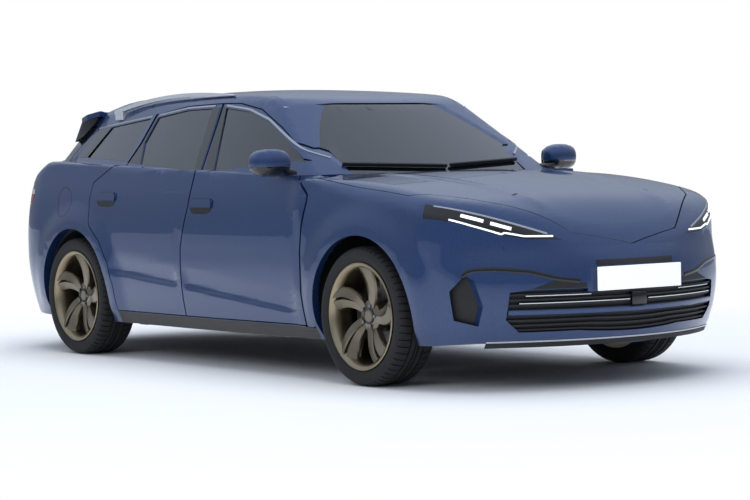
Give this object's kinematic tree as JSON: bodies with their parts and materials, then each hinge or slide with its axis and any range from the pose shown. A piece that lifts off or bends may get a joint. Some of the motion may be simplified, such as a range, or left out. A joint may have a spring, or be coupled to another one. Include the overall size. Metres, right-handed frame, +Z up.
{
  "type": "estate car",
  "caption": "Dark blue five-door estate car with roof rails, opening doors, bonnet and tailgate, steered front wheels and rolling wheels.",
  "frame": {"origin": "on the ground under the middle of the car", "axes": "+X forward, +Y to the car's left, +Z up"},
  "size_m": [4.84, 2.08, 1.488],
  "materials": {
    "paint": "gloss",
    "trim": "satin",
    "glass": "gloss",
    "tyre": "matte",
    "alloy": "satin",
    "iron": "satin",
    "lamp": "gloss",
    "red_lamp": "gloss",
    "cloth": "matte",
    "steel": "satin",
    "bright": "satin"
  },
  "bodies": {
    "shell": {"body_side_left": "paint", "body_side_right": "paint", "sill_trims": "trim", "roof_panel": "paint", "windscreen": "glass", "quarter_glass": "glass", "roof_rails": "bright", "rear_bumper": "paint", "tail_lamps": "red_lamp", "front_wings": "paint", "front_bumper": "paint", "front_grille": "trim", "headlamps": "lamp", "cowl_panel": "trim", "floor_pan": "steel", "wheel_housings": "trim", "engine_block": "iron", "front_axle_frame": "steel", "rear_axle_frame": "steel", "seat_front_left": "cloth", "seat_front_right": "cloth", "seat_rear": "cloth", "dashboard": "trim", "steering_wheel": "trim"},
    "bonnet": {"bonnet": "paint"},
    "tailgate": {"tailgate": "paint", "tailgate_glass": "glass", "tail_light_bar": "red_lamp"},
    "door_front_left": {"door_front_left": "paint", "door_front_glass_left": "glass", "mirror_left": "paint"},
    "door_rear_left": {"door_rear_left": "paint", "door_rear_glass_left": "glass"},
    "knuckle_left": {"knuckle_front_left": "iron"},
    "wheel_front_left": {"tyre_front_left": "tyre", "rim_front_left": "alloy", "brake_disc_front_left": "iron"},
    "wheel_rear_left": {"tyre_rear_left": "tyre", "rim_rear_left": "alloy", "brake_disc_rear_left": "iron"},
    "door_front_right": {"door_front_right": "paint", "door_front_glass_right": "glass", "mirror_right": "paint"},
    "door_rear_right": {"door_rear_right": "paint", "door_rear_glass_right": "glass"},
    "knuckle_right": {"knuckle_front_right": "iron"},
    "wheel_front_right": {"tyre_front_right": "tyre", "rim_front_right": "alloy", "brake_disc_front_right": "iron"},
    "wheel_rear_right": {"tyre_rear_right": "tyre", "rim_rear_right": "alloy", "brake_disc_rear_right": "iron"}
  },
  "joints": [
    {"name": "door_front_left_swing", "type": "hinge", "parent": "shell", "child": "door_front_left", "pos_m": [0.945, 0.908, 0.62], "axis": [0, 0, -1], "range_deg": [0, 65]},
    {"name": "door_rear_left_swing", "type": "hinge", "parent": "shell", "child": "door_rear_left", "pos_m": [-0.176, 0.914, 0.72], "axis": [0, 0, -1], "range_deg": [0, 65]},
    {"name": "steer_left", "type": "hinge", "parent": "shell", "child": "knuckle_left", "pos_m": [1.455, 0.715, 0.335], "axis": [0, 0, 1], "range_deg": [-32, 32]},
    {"name": "wheel_front_left_spin", "type": "hinge", "parent": "knuckle_left", "child": "wheel_front_left", "pos_m": [1.455, 0.81, 0.335], "axis": [0, 1, 0], "continuous": true},
    {"name": "wheel_rear_left_spin", "type": "hinge", "parent": "shell", "child": "wheel_rear_left", "pos_m": [-1.335, 0.81, 0.335], "axis": [0, 1, 0], "continuous": true},
    {"name": "door_front_right_swing", "type": "hinge", "parent": "shell", "child": "door_front_right", "pos_m": [0.945, -0.908, 0.62], "axis": [0, 0, 1], "range_deg": [0, 65]},
    {"name": "door_rear_right_swing", "type": "hinge", "parent": "shell", "child": "door_rear_right", "pos_m": [-0.176, -0.914, 0.72], "axis": [0, 0, 1], "range_deg": [0, 65]},
    {"name": "steer_right", "type": "hinge", "parent": "shell", "child": "knuckle_right", "pos_m": [1.455, -0.715, 0.335], "axis": [0, 0, 1], "range_deg": [-32, 32]},
    {"name": "wheel_front_right_spin", "type": "hinge", "parent": "knuckle_right", "child": "wheel_front_right", "pos_m": [1.455, -0.81, 0.335], "axis": [0, 1, 0], "continuous": true},
    {"name": "wheel_rear_right_spin", "type": "hinge", "parent": "shell", "child": "wheel_rear_right", "pos_m": [-1.335, -0.81, 0.335], "axis": [0, 1, 0], "continuous": true},
    {"name": "bonnet_lift", "type": "hinge", "parent": "shell", "child": "bonnet", "pos_m": [1, 0, 0.958], "axis": [0, -1, 0], "range_deg": [0, 45]},
    {"name": "tailgate_lift", "type": "hinge", "parent": "shell", "child": "tailgate", "pos_m": [-1.65, 0, 1.391], "axis": [0, 1, 0], "range_deg": [0, 75]}
  ],
  "couplings": [
    {"joint": "steer_right", "follows": "steer_left", "ratio": 1}
  ]
}
